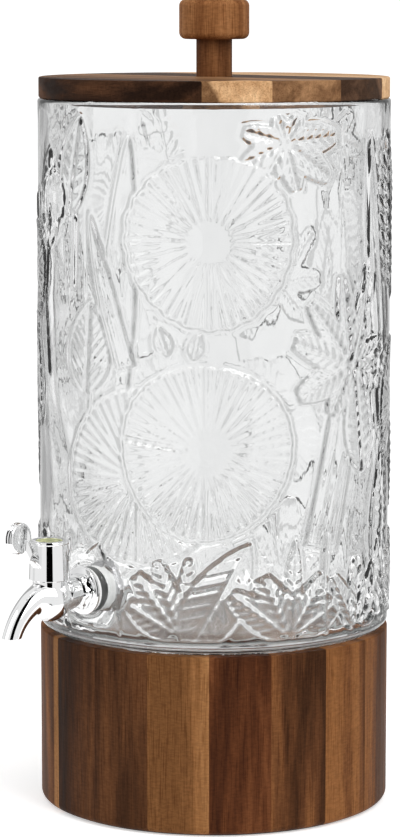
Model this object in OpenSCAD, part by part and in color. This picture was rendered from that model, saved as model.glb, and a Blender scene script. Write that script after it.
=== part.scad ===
// Tapped glass dispenser on an acacia stand. Millimetres, +Z up, the tap points along -Y.
// The origin is the centre of the underside of the foot ring.

/* [Stand] */
// Outer radius of the stand and of the jar
outer_r = 103.5; // [95:0.5:115]
// Height of the wooden stand's rim above the ground
stand_top = 105; // [95:1:130]
// Thickness of a stave
stave_wall = 14; // [12:0.5:18]
// Rounding of the stand's lower edge
stand_round = 4; // [2:0.5:6]
// Direction of the first glue joint, in degrees from +X
first_joint = 13; // [0:1:20]
// Thickness of the round shelf under the jar
shelf_h = 10; // [6:1:14]

/* [Jar] */
// Height of the jar's rim above the ground
jar_top = 417.5; // [380:0.5:450]
// Thickness of the glass wall
glass_wall = 5; // [4:0.5:6]
// Thickness of the glass floor
glass_floor = 10; // [8:0.5:14]
// Rounding of the jar's heel
heel_round = 5; // [4:0.5:7]
// Rounding of the jar's floor inside
floor_round = 8; // [4:0.5:10]

/* [Tap] */
// Height of the tap's shank above the ground
tap_z = 138.5; // [136:0.5:142]
// Radius of the smooth round boss in the glass
boss_r = 20; // [18:0.5:22]
// Radius of the hole drilled in the glass
glass_hole_r = 8.5; // [8.3:0.1:9]
// Thread radius of the shank
shank_r = 8; // [8:0.1:8.1]
// Bore radius of the shank
shank_bore_r = 5; // [4:0.1:5.5]
// Distance from the jar's axis to the barrel's axis
barrel_reach = 133; // [132:0.5:134]
// Radius of the fixed barrel
barrel_r = 9.6; // [9.4:0.1:9.8]
// Bore radius of the spout
spout_bore_r = 4.1; // [3.6:0.1:4.2]
// Outer radius of the spout at its outlet
outlet_r = 5.4; // [5.3:0.05:6]
// Turn of the handle from straight over the spout, as it stands
handle_turn = 7; // [-90:1:90]

/* [Lid] */
// Radius of the lid
lid_r = 102.8; // [98:0.2:106]
// Thickness of the lid above the jar's rim
lid_h = 12; // [10:1:16]
// Radius of the plug that centres the lid in the jar
plug_fit_r = 94; // [90:0.5:94.5]
// Depth of that plug
plug_depth = 4; // [4:0.5:10]
// Radius of the knob's stem
stem_r = 10.5; // [9.5:0.5:12]
// Height of the stem between the lid and the knob's head
stem_h = 21.7; // [20:0.1:30]
// Radius of the knob's head
knob_r = 20.5; // [18:0.5:25]
// Height of the knob's head
knob_h = 23.2; // [18:0.1:26]

/* [Hidden] */
$fn = 96;
bore_gap = 0.05;     // radial clearance of a running fit
stave_count = 18;
stave_angle = 360 / stave_count;

// Stand heights and radii
foot_h = 1;
foot_r = outer_r - 5.5;
foot_in_r = foot_r - 9;
seat_h = 1;
jar_base = stand_top - 5;
shelf_top = jar_base - seat_h;
shelf_z = shelf_top - shelf_h;
stave_in_r = outer_r - stave_wall;
rebate_r = outer_r - 6.5;
shelf_r = rebate_r - 0.2;
rim_round = 1;

// Jar
jar_in_r = outer_r - glass_wall;
jar_foot_r = rebate_r - 1.5;
shoulder_z = stand_top + 1;
seat_r = jar_foot_r - 1.5;
seat_in_r = seat_r - 10;
punt_r = seat_in_r - 4;
punt_h = 1;
lip_round = 2;
inner_floor = jar_base + glass_floor;

// Distances from the jar's axis along the tap, each one the outer face of its piece
pad_in = jar_in_r - 1.5;
pad_out = outer_r + 1;
outer_washer_out = pad_out + 2;
flange_out = outer_washer_out + 2.5;
collar_out = flange_out + 4.5;
spigot_out = collar_out + 5.5;
inner_washer_in = pad_in - 2;
plate_washer_in = inner_washer_in - 1.2;
nut_in = plate_washer_in - 7;
shank_in = pad_in - 17;
washer_r = 13;
washer_gap = 0.2;
flange_r = 14;
collar_af = 19;
nut_af = 24;
spigot_r = 6.5;
stub_r = 8.6;
stub_l = 6;
stub_drop = 0.3;      // how far below the shank's axis the stub's taper starts
stub_tilt = 6.5;      // and how steeply it falls to the belly
stub_taper_l = 16;
belly_r = 11.3;
belly_z = 136;
inlet_bore_r = 3.6;

// Spout: a straight taper out of the barrel, then an arc down to the outlet
outlet_reach = 162;
outlet_z = 118.5;
bend_start = 30;
bend_end = 75;
spout_bend = 24;
spout_arc_reach = outlet_reach - spout_bend * sin(bend_end);
spout_arc_z = outlet_z - spout_bend * cos(bend_end);
spout_run_l = (spout_arc_reach + spout_bend * sin(bend_start) - barrel_reach) / cos(bend_start);
spout_root_z = spout_arc_z + spout_bend * cos(bend_start) + spout_run_l * sin(bend_start);
spout_root_r = 8.4;

// Barrel, plug and handle heights
chamber_r = 7;
chamber_floor = 131;
barrel_top = 158;
seam_z = 148.5;
snap_z = 152;
snap_groove_r = barrel_r - 0.5;
snap_bead_r = barrel_r - 0.3;
skirt_r = barrel_r + 0.1;
cap_low_r = 11.6;
cap_high_r = 10.9;
cap_rim_r = 11.4;
cap_rim_z = 169;
cap_top = 171;
cap_ceiling = barrel_top + 0.3;
socket_top = 162.8;
screw_seat = 165;
insert_seat = 168.8;
insert_r = 7.4;
insert_h = 2;
drive_w = 7;
drive_top = 162.5;
plug_floor = chamber_floor + 0.3;
plug_top = barrel_top - 0.5;
port_z = 139;
port_r = 3.4;
ring_low_z = 133.3;
ring_high_z = 145;
ring_wire_r = 0.88;
plug_r = chamber_r - bore_gap;
handle_screw_r = 1.5;
handle_screw_z = 152;
handle_head_r = 3.2;
handle_head_h = 2.2;
arm_w = 6.4;
arm_web = [[8, 153], [8, 170.6], [15, 171], [21, 174], [25, 172], [22, 166]];
arm_hollow = [22.5, 148];
arm_hollow_r = 14;
paddle_r = 9;
paddle_w = 5.2;
paddle_reach = 26.5;
paddle_z = 175.5;
paddle_groove = 0.9;  // distance of each rim groove from the paddle's middle
paddle_groove_r = 0.5;

// Lid and knob
lid_top = jar_top + lid_h;
lid_round = 1;
lid_joints = [-lid_r - 1, -78, -47, -3, 42, 77, lid_r + 1];
stem_top = lid_top + stem_h;
tenon_r = 8;
tenon_h = 10;
knob_round = 4;
screw_r = 2.1;
screw_hole_r = 2.3;
screw_top = stem_top - 8;
screw_head_r = 4.2;
screw_head_h = 2.4;
recess_r = 7.5;
recess_h = 4;
washer_h = 1.2;
plug_under = jar_top - plug_depth;

// A box in the radius-height plane, from two corners.
module span(r0, z0, r1, z1) {
    translate([r0, z0]) square([r1 - r0, z1 - z0]);
}

// A ring or disc about the Z axis.
module ring(r_out, r_in, z0, z1) {
    rotate_extrude()
        span(r_in, z0, r_out, z1);
}

// A round bar along the tap's shank, between two distances from the jar's axis.
module shank_bar(r, near, far, z = tap_z) {
    translate([0, -near, z])
        rotate([90, 0, 0])
            cylinder(h = far - near, r = r);
}

// A hexagonal bar along the tap's shank, flats above and below.
module shank_hex(across_flats, near, far) {
    translate([0, -near, tap_z])
        rotate([90, 0, 0])
            rotate([0, 0, 30])
                cylinder(h = far - near, r = across_flats / sqrt(3), $fn = 6);
}

// Places its children on the barrel's axis.
module on_barrel() {
    translate([0, -barrel_reach, 0])
        children();
}

// Places its children on the barrel's axis, turned with the handle.
module on_handle() {
    on_barrel()
        rotate([0, 0, handle_turn])
            children();
}

// Section of a stave: rounded at the ground and rebated inside for the shelf.
module stave_section() {
    difference() {
        union() {
            span(stave_in_r, foot_h, outer_r - stand_round, stand_top);
            span(stave_in_r, foot_h + stand_round, outer_r, stand_top - rim_round);
            span(stave_in_r, stand_top - rim_round - 1, outer_r - rim_round, stand_top);
            translate([outer_r - stand_round, foot_h + stand_round]) circle(r = stand_round);
            translate([outer_r - rim_round, stand_top - rim_round]) circle(r = rim_round);
        }
        span(stave_in_r - 1, shelf_z, rebate_r, stand_top + 1);
    }
}

module base_stave(number) {
    color(number % 3 == 0 ? "peru" : (number % 3 == 1 ? "saddlebrown" : "sienna"))
        rotate([0, 0, first_joint + (number - 1) * stave_angle])
            rotate_extrude(angle = stave_angle)
                stave_section();
}

module base_shelf() {
    color("burlywood")
        translate([0, 0, shelf_z])
            cylinder(h = shelf_h, r = shelf_r);
}

module seat_ring() {
    color("gainsboro")
        ring(seat_r, seat_in_r, shelf_top, jar_base);
}

module foot_ring() {
    color("dimgray")
        ring(foot_r, foot_in_r, 0, foot_h);
}

// Outer shape of the jar: foot, rounded heel, straight wall and rounded lip.
module jar_outer_section() {
    span(0, jar_base, jar_foot_r, shoulder_z + heel_round);
    span(0, shoulder_z, outer_r - heel_round, shoulder_z + heel_round);
    translate([outer_r - heel_round, shoulder_z + heel_round]) circle(r = heel_round);
    span(0, shoulder_z + heel_round, outer_r, jar_top - lip_round);
    span(0, jar_top - lip_round - 1, outer_r - lip_round, jar_top);
    translate([outer_r - lip_round, jar_top - lip_round]) circle(r = lip_round);
}

// Inside of the jar, with the lip's inner rounding cut away above it.
module jar_inner_section() {
    span(-1, inner_floor, jar_in_r - floor_round, jar_top + 1);
    translate([jar_in_r - floor_round, inner_floor + floor_round]) circle(r = floor_round);
    span(0, inner_floor + floor_round, jar_in_r, jar_top + 1);
    difference() {
        span(jar_in_r - 1, jar_top - lip_round, jar_in_r + lip_round, jar_top + 1);
        translate([jar_in_r + lip_round, jar_top - lip_round]) circle(r = lip_round);
    }
}

module glass_jar() {
    color("azure", 0.35)
        difference() {
            union() {
                rotate_extrude()
                    intersection() {
                        difference() {
                            jar_outer_section();
                            jar_inner_section();
                        }
                        span(0, 0, 2 * outer_r, 2 * jar_top);
                    }
                shank_bar(boss_r, pad_in, pad_out);
            }
            shank_bar(glass_hole_r, pad_in - 5, pad_out + 5);
            translate([0, 0, jar_base - 1])
                cylinder(h = 1 + punt_h, r = punt_r);
        }
}

// A flat washer on the shank.
module shank_washer(near, far) {
    difference() {
        shank_bar(washer_r, near, far);
        shank_bar(shank_r + washer_gap, near - 1, far + 1);
    }
}

module tap_outer_washer() {
    color("whitesmoke")
        shank_washer(pad_out, outer_washer_out);
}

module tap_inner_washer() {
    color("whitesmoke")
        shank_washer(inner_washer_in, pad_in);
}

module tap_plate_washer() {
    color("silver")
        shank_washer(plate_washer_in, inner_washer_in);
}

module tap_lock_nut() {
    color("silver")
        difference() {
            intersection() {
                shank_hex(nut_af, nut_in, plate_washer_in);
                shank_bar(nut_af / 2 + 1, nut_in, plate_washer_in);
            }
            shank_bar(shank_r + bore_gap, nut_in - 1, plate_washer_in + 1);
        }
}

module tap_shank() {
    color("silver")
        difference() {
            union() {
                shank_bar(shank_r, shank_in, outer_washer_out + 1);
                shank_bar(flange_r, outer_washer_out, flange_out);
                shank_hex(collar_af, flange_out - 1, collar_out);
                shank_bar(spigot_r, collar_out - 1, spigot_out);
            }
            shank_bar(shank_bore_r, shank_in - 1, spigot_out + 1);
        }
}

// A round bar or bore bent down round the spout's arc, between two angles below level.
module spout_arc(r, from, to) {
    translate([0, -spout_arc_reach, spout_arc_z])
        rotate([90, 0, -90])
            rotate([0, 0, 90 - to])
                rotate_extrude(angle = to - from)
                    translate([spout_bend, 0]) circle(r = r, $fn = 64);
}

// A straight bar or bore from the barrel's axis to the start of the spout's arc.
module spout_run(r_near, r_far) {
    translate([0, -barrel_reach, spout_root_z])
        rotate([90 + bend_start, 0, 0])
            cylinder(h = spout_run_l, r1 = r_near, r2 = r_far);
}

module tap_body() {
    color("silver")
        difference() {
            union() {
                shank_bar(stub_r, collar_out, collar_out + stub_l);
                translate([0, -collar_out - 2, tap_z - stub_drop])
                    rotate([90 + stub_tilt, 0, 0])
                        cylinder(h = stub_taper_l, r1 = stub_r, r2 = belly_r - 0.6);
                translate([0, -barrel_reach - 0.5, belly_z]) sphere(r = belly_r);
                on_barrel()
                    translate([0, 0, belly_z])
                        cylinder(h = barrel_top - belly_z, r = barrel_r);
                spout_run(spout_root_r, outlet_r + 0.4);
                spout_arc(outlet_r, bend_start - 3, bend_end + 7);
            }
            translate([-50, -barrel_reach - 100, 0])
                cube([100, 100, outlet_z]);
            shank_bar(spigot_r + bore_gap, collar_out - 1, spigot_out + 0.5);
            shank_bar(inlet_bore_r, spigot_out, barrel_reach, port_z);
            on_barrel() {
                translate([0, 0, chamber_floor])
                    cylinder(h = barrel_top, r = chamber_r);
                ring(barrel_r + 1, snap_groove_r, snap_z - 0.9, snap_z + 0.9);
            }
            spout_run(spout_bore_r, spout_bore_r);
            spout_arc(spout_bore_r, bend_start, bend_end + 12);
        }
}

// Side view of the arm, outwards from the barrel's axis: a web with a hollowed lower edge.
module arm_outline() {
    difference() {
        polygon(arm_web);
        translate(arm_hollow) circle(r = arm_hollow_r);
    }
}

// Half section of the paddle, whose rim has two grooves.
module paddle_section() {
    difference() {
        union() {
            square([paddle_r - 1, paddle_w]);
            translate([0, 1]) square([paddle_r, paddle_w - 2]);
            translate([paddle_r - 1, 1]) circle(r = 1);
            translate([paddle_r - 1, paddle_w - 1]) circle(r = 1);
        }
        for (side = [-1, 1])
            translate([paddle_r + 0.2, paddle_w / 2 + side * paddle_groove])
                circle(r = paddle_groove_r, $fn = 24);
        translate([-10, -1]) square([10, paddle_w + 2]);
    }
}

module tap_handle() {
    color("silver")
        on_handle()
            difference() {
                union() {
                    translate([0, 0, seam_z])
                        cylinder(h = cap_rim_z - seam_z, r1 = cap_low_r, r2 = cap_high_r);
                    ring(cap_rim_r, 0, cap_rim_z, cap_top);
                    translate([arm_w / 2, 0, 0])
                        rotate([90, 0, -90])
                            linear_extrude(arm_w)
                                arm_outline();
                    translate([-paddle_w / 2, -paddle_reach, paddle_z])
                        rotate([0, 90, 0])
                            rotate_extrude()
                                paddle_section();
                }
                difference() {
                    translate([0, 0, seam_z - 1])
                        cylinder(h = cap_ceiling - seam_z + 1, r = skirt_r);
                    ring(cap_low_r, snap_bead_r, snap_z - 0.5, snap_z + 0.5);
                }
                translate([-drive_w / 2 - 0.1, -drive_w / 2 - 0.1, cap_ceiling - 1])
                    cube([drive_w + 0.2, drive_w + 0.2, socket_top - cap_ceiling + 1]);
                translate([0, 0, socket_top - 1])
                    cylinder(h = cap_top - socket_top, r = handle_screw_r + 0.2, $fn = 48);
                translate([0, 0, screw_seat])
                    cylinder(h = cap_top, r = insert_r - 1.8);
                translate([0, 0, insert_seat])
                    cylinder(h = cap_top, r = insert_r + 0.1);
            }
}

// Groove that holds one sealing ring.
module ring_groove(z) {
    groove_r = plug_r - 2 * ring_wire_r - 0.04;
    ring(plug_r + 1, groove_r, z - ring_wire_r - 0.1, z + ring_wire_r + 0.1);
}

module valve_plug() {
    color("white")
        on_handle()
            difference() {
                union() {
                    translate([0, 0, plug_floor])
                        cylinder(h = plug_top - plug_floor, r = plug_r);
                    translate([-drive_w / 2, -drive_w / 2, plug_top - 1])
                        cube([drive_w, drive_w, drive_top - plug_top + 1]);
                }
                translate([-2 * plug_r, 0, port_z])
                    rotate([0, 90, 0])
                        cylinder(h = 4 * plug_r, r = port_r);
                ring_groove(ring_low_z);
                ring_groove(ring_high_z);
                translate([0, 0, handle_screw_z - 1])
                    cylinder(h = drive_top, r = handle_screw_r, $fn = 48);
            }
}

module plug_o_ring(z) {
    color("black")
        on_handle()
            rotate_extrude()
                translate([plug_r - ring_wire_r - 0.02, z]) circle(r = ring_wire_r, $fn = 32);
}

module plug_o_ring_upper() {
    plug_o_ring(ring_high_z);
}

module plug_o_ring_lower() {
    plug_o_ring(ring_low_z);
}

// The cross in a screw's head: two slots of this length and width, between two heights.
module cross_slot(l, w, z0, z1) {
    for (turn = [0, 90])
        rotate([0, 0, turn])
            translate([-l / 2, -w / 2, z0])
                cube([l, w, z1 - z0]);
}

module handle_screw() {
    color("silver")
        on_handle()
            difference() {
                union() {
                    translate([0, 0, handle_screw_z])
                        cylinder(h = screw_seat - handle_screw_z + 1, r = handle_screw_r - 0.02, $fn = 48);
                    translate([0, 0, screw_seat])
                        cylinder(h = handle_head_h, r = handle_head_r, $fn = 48);
                }
                cross_slot(4.8, 0.8, screw_seat + 1.2, screw_seat + handle_head_h + 1);
            }
}

module cap_insert() {
    color("khaki")
        on_handle()
            translate([0, 0, insert_seat])
                cylinder(h = insert_h, r = insert_r);
}

// Section of the whole lid: a rounded disc over a shallow plug.
module lid_section() {
    span(0, plug_under, plug_fit_r - 1, jar_top + 1);
    span(0, plug_under + 1, plug_fit_r, jar_top + 1);
    translate([plug_fit_r - 1, plug_under + 1]) circle(r = 1);
    span(0, jar_top, lid_r - lid_round, lid_top);
    span(0, jar_top + lid_round, lid_r, lid_top - lid_round);
    translate([lid_r - lid_round, jar_top + lid_round]) circle(r = lid_round);
    translate([lid_r - lid_round, lid_top - lid_round]) circle(r = lid_round);
}

module lid_board(number) {
    near = lid_joints[number - 1];
    far = lid_joints[number];
    color(number == 2 || number >= 5 ? "burlywood" : "saddlebrown")
        intersection() {
            difference() {
                rotate_extrude()
                    intersection() {
                        lid_section();
                        span(0, 0, 2 * lid_r, 2 * lid_top);
                    }
                translate([0, 0, plug_under - 1])
                    cylinder(h = 1 + recess_h, r = recess_r);
                translate([0, 0, plug_under])
                    cylinder(h = lid_top, r = screw_hole_r, $fn = 48);
            }
            translate([-2 * lid_r, near, 0])
                cube([4 * lid_r, far - near, 2 * lid_top]);
        }
}

module knob_stem() {
    color("sienna")
        difference() {
            union() {
                translate([0, 0, lid_top])
                    cylinder(h = stem_h, r = stem_r);
                translate([0, 0, stem_top - 1])
                    cylinder(h = tenon_h + 1, r = tenon_r);
            }
            translate([0, 0, lid_top - 1])
                cylinder(h = screw_top - lid_top + 2, r = screw_r + bore_gap, $fn = 48);
        }
}

// Section of the knob's head, with its blind hole for the tenon.
module knob_section() {
    top = stem_top + knob_h;
    difference() {
        union() {
            span(0, stem_top, knob_r - knob_round, top);
            span(0, stem_top + knob_round, knob_r, top - knob_round);
            translate([knob_r - knob_round, stem_top + knob_round]) circle(r = knob_round);
            translate([knob_r - knob_round, top - knob_round]) circle(r = knob_round);
        }
        span(-1, stem_top - 1, tenon_r + bore_gap, stem_top + tenon_h + 0.5);
    }
}

module knob_head() {
    color("sienna")
        rotate_extrude()
            knob_section();
}

module knob_screw() {
    head_z = plug_under + recess_h - washer_h;
    color("silver")
        difference() {
            union() {
                translate([0, 0, head_z])
                    cylinder(h = screw_top - head_z, r = screw_r, $fn = 48);
                translate([0, 0, head_z - screw_head_h])
                    cylinder(h = screw_head_h, r = screw_head_r, $fn = 48);
            }
            cross_slot(6, 1, head_z - screw_head_h - 1, head_z - 1.4);
        }
}

module screw_washer() {
    color("silver")
        ring(recess_r - 0.5, screw_hole_r, plug_under + recess_h - washer_h, plug_under + recess_h);
}

base_stave(1);  // base_stave_01
base_stave(2);  // base_stave_02
base_stave(3);  // base_stave_03
base_stave(4);  // base_stave_04
base_stave(5);  // base_stave_05
base_stave(6);  // base_stave_06
base_stave(7);  // base_stave_07
base_stave(8);  // base_stave_08
base_stave(9);  // base_stave_09
base_stave(10);  // base_stave_10
base_stave(11);  // base_stave_11
base_stave(12);  // base_stave_12
base_stave(13);  // base_stave_13
base_stave(14);  // base_stave_14
base_stave(15);  // base_stave_15
base_stave(16);  // base_stave_16
base_stave(17);  // base_stave_17
base_stave(18);  // base_stave_18
base_shelf();
seat_ring();
foot_ring();
glass_jar();
tap_outer_washer();
tap_shank();
tap_body();
tap_inner_washer();
tap_plate_washer();
tap_lock_nut();
tap_handle();
valve_plug();
plug_o_ring_upper();
plug_o_ring_lower();
handle_screw();
cap_insert();
lid_board(1);  // lid_board_1
lid_board(2);  // lid_board_2
lid_board(3);  // lid_board_3
lid_board(4);  // lid_board_4
lid_board(5);  // lid_board_5
lid_board(6);  // lid_board_6
knob_stem();
knob_head();
knob_screw();
screw_washer();
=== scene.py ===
"""Blender looks for the tapped glass dispenser: embossed glass, chrome tap, acacia stand and lid.

Lengths in the helpers are millimetres in the CAD frame, and become metres where a mesh is made.
"Turn" is an angle in degrees round the jar, to the right of the tap as seen from outside.
"""

import math

import bmesh
import bpy
import numpy as np
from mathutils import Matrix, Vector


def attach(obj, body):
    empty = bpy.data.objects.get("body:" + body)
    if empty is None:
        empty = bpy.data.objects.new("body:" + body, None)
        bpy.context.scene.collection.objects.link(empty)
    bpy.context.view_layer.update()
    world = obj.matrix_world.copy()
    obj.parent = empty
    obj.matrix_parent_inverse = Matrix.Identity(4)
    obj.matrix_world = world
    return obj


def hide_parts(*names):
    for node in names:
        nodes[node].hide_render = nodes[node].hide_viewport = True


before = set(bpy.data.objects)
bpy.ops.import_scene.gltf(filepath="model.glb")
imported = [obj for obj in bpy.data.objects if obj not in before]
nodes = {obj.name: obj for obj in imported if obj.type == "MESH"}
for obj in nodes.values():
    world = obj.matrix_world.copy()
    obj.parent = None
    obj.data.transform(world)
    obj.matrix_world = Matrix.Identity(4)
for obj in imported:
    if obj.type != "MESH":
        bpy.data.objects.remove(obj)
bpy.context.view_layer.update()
MM = 0.001

# ---------------------------------------------------------------- sizes shared with the CAD model
WALL_R = 103.5  # outer radius of the glass
INNER_R = 98.5
JAR_BASE = 100.0
INNER_FLOOR = 110.0
TAP_Z = 138.5
PAD_OUT = 104.5  # distance of the flat outer face of the tap's boss from the jar's axis
PAD_IN = 97.0
BOSS_R = 20.0
HOLE_R = 8.5
HOLE_CELLS = 9  # half the side of the square of grid cells that the hole takes out
HOLE_BLEND = 18.0  # half the side of the square in which the grid bends round the hole
BARREL = 133.0  # distance of the barrel's axis from the jar's axis
HANDLE_TURN = 7.0


# ---------------------------------------------------------------- meshes
def build(name, points, faces, crisp=None):
    """An object from points in millimetres. Edges sharper than crisp degrees stay sharp."""
    mesh = bpy.data.meshes.new(name)
    points = np.asarray(points, float) * MM
    sizes = np.array([len(f) for f in faces])
    mesh.vertices.add(len(points))
    mesh.vertices.foreach_set("co", points.ravel())
    mesh.loops.add(int(sizes.sum()))
    mesh.loops.foreach_set("vertex_index", np.concatenate(faces).astype(np.int32))
    mesh.polygons.add(len(faces))
    mesh.polygons.foreach_set("loop_start", np.concatenate([[0], np.cumsum(sizes)[:-1]]).astype(np.int32))
    mesh.update(calc_edges=True)
    mesh.polygons.foreach_set("use_smooth", [True] * len(faces))
    if crisp is not None:
        mesh.set_sharp_from_angle(angle=math.radians(crisp))
    piece = bpy.data.objects.new(name, mesh)
    bpy.context.scene.collection.objects.link(piece)
    return piece


def ring_faces(rows, columns, keep=None):
    """Quads between neighbouring rings, which close on themselves, and a flat cap on each end."""
    index = np.arange(rows * columns).reshape(rows, columns)
    right = np.roll(index, -1, axis=1)
    quads = np.stack([index[:-1], right[:-1], right[1:], index[1:]], axis=-1)
    quads = quads.reshape(-1, 4) if keep is None else quads[keep]
    return list(quads) + [index[0][::-1], index[-1]]


def merge(shells):
    """One list of points and one of faces from several."""
    points, faces, start = [], [], 0
    for shell_points, shell_faces in shells:
        points.append(np.asarray(shell_points, float).reshape(-1, 3))
        faces += [np.asarray(f) + start for f in shell_faces]
        start += len(points[-1])
    return np.concatenate(points), faces


def turned(profile, columns=96):
    """A closed shell turned about Z from (radius, height) pairs, which run up the outside."""
    profile = np.asarray(profile, float)
    angle = np.radians(np.arange(columns) * 360 / columns)
    radius, height = profile[:, :1], profile[:, 1:]
    points = np.stack([radius * np.cos(angle), radius * np.sin(angle), height + 0 * angle], axis=-1)
    return points.reshape(-1, 3), ring_faces(len(profile), columns)


def along_tap(rows, columns, radius_at):
    """A closed shell about the shank's axis. Each row is a distance from the jar's axis and a radius."""
    angle = np.radians(np.arange(columns) * 360 / columns)
    rings = []
    for reach, radius in rows:
        r = radius_at(radius, reach, angle)
        rings.append(np.stack([r * np.sin(angle), 0 * angle - reach, TAP_Z + r * np.cos(angle)], axis=-1))
    return np.array(rings).reshape(-1, 3), ring_faces(len(rows), columns)


def arc(centre, radius, start, end, steps):
    """Points on an arc in a plane, from one angle to another."""
    return [
        (centre[0] + radius * math.cos(math.radians(a)), centre[1] + radius * math.sin(math.radians(a)))
        for a in np.linspace(start, end, steps)
    ]


def place(points, turn=0.0, shift=(0.0, 0.0, 0.0)):
    """Points turned about Z in degrees, then moved."""
    c, s = math.cos(math.radians(turn)), math.sin(math.radians(turn))
    return np.asarray(points) @ np.array([[c, s, 0], [-s, c, 0], [0, 0, 1]]) + np.array(shift)


# ---------------------------------------------------------------- materials
def linear(rgb):
    """A display colour of 0 to 255 as the linear colour that shaders take."""
    out = []
    for v in rgb:
        v = v / 255
        out.append(v / 12.92 if v <= 0.04045 else ((v + 0.055) / 1.055) ** 2.4)
    return (*out, 1.0)


class Tree:
    """A new material and short names for making its nodes."""

    def __init__(self, name):
        self.material = bpy.data.materials.new(name)
        self.material.use_nodes = True
        self.nodes = self.material.node_tree.nodes
        self.links = self.material.node_tree.links
        self.shader = self.nodes["Principled BSDF"]
        self.output = self.nodes["Material Output"]
        self.object_space = self.nodes.new("ShaderNodeTexCoord").outputs["Object"]

    def link(self, source, target):
        if isinstance(source, (int, float)):
            target.default_value = source
        elif isinstance(source, tuple):
            target.default_value = source
        else:
            self.links.new(source, target)

    def mapped(self, scale, shift=(0, 0, 0), tilt=(0, 0, 0)):
        node = self.nodes.new("ShaderNodeMapping")
        self.links.new(self.object_space, node.inputs["Vector"])
        node.inputs["Location"].default_value = shift
        node.inputs["Rotation"].default_value = [math.radians(t) for t in tilt]
        node.inputs["Scale"].default_value = scale
        return node.outputs["Vector"]

    def noise(self, vector, scale, detail=3.0, rough=0.5, distortion=0.0):
        node = self.nodes.new("ShaderNodeTexNoise")
        self.link(vector, node.inputs["Vector"])
        node.inputs["Scale"].default_value = scale
        node.inputs["Detail"].default_value = detail
        node.inputs["Roughness"].default_value = rough
        node.inputs["Distortion"].default_value = distortion
        return node.outputs["Fac"]

    def ramp(self, factor, stops):
        node = self.nodes.new("ShaderNodeValToRGB")
        self.link(factor, node.inputs["Fac"])
        elements = node.color_ramp.elements
        while len(elements) < len(stops):
            elements.new(0.5)
        for element, (position, colour) in zip(elements, stops):
            element.position = position
            element.color = colour
        return node.outputs["Color"]

    def math(self, operation, a, b=0.0):
        node = self.nodes.new("ShaderNodeMath")
        node.operation = operation
        self.link(a, node.inputs[0])
        self.link(b, node.inputs[1])
        return node.outputs[0]

    def span(self, factor, low, high):
        """A factor of about 0.3 to 0.7 carried to a new range."""
        node = self.nodes.new("ShaderNodeMapRange")
        self.link(factor, node.inputs["Value"])
        node.inputs["From Min"].default_value = 0.3
        node.inputs["From Max"].default_value = 0.7
        node.inputs["To Min"].default_value = low
        node.inputs["To Max"].default_value = high
        return node.outputs["Result"]

    def tint(self, colour, factor, blend="MULTIPLY", amount=1.0):
        node = self.nodes.new("ShaderNodeMix")
        node.data_type = "RGBA"
        node.blend_type = blend
        self.link(amount, node.inputs[0])
        self.link(colour, node.inputs[6])
        self.link(factor, node.inputs[7])
        return node.outputs[2]

    def beyond(self, direction, edge, soft, wander=0.0):
        """1 where the distance along a direction passes an edge, which may wander. All are in metres."""
        dot = self.nodes.new("ShaderNodeVectorMath")
        dot.operation = "DOT_PRODUCT"
        self.links.new(self.object_space, dot.inputs[0])
        dot.inputs[1].default_value = direction
        sway = self.math("MULTIPLY", self.noise(self.mapped((1, 1, 1)), 60.0, 3.0), wander)
        node = self.nodes.new("ShaderNodeMapRange")
        node.interpolation_type = "SMOOTHSTEP"
        self.link(self.math("ADD", dot.outputs["Value"], sway), node.inputs["Value"])
        node.inputs["From Min"].default_value = edge - soft
        node.inputs["From Max"].default_value = edge + soft
        return node.outputs["Result"]

    def bump(self, height, strength, distance):
        node = self.nodes.new("ShaderNodeBump")
        node.inputs["Strength"].default_value = strength
        node.inputs["Distance"].default_value = distance
        self.link(height, node.inputs["Height"])
        self.links.new(node.outputs["Normal"], self.shader.inputs["Normal"])

    def set(self, **values):
        for key, value in values.items():
            self.link(value, self.shader.inputs[key.replace("_", " ")])


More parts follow.
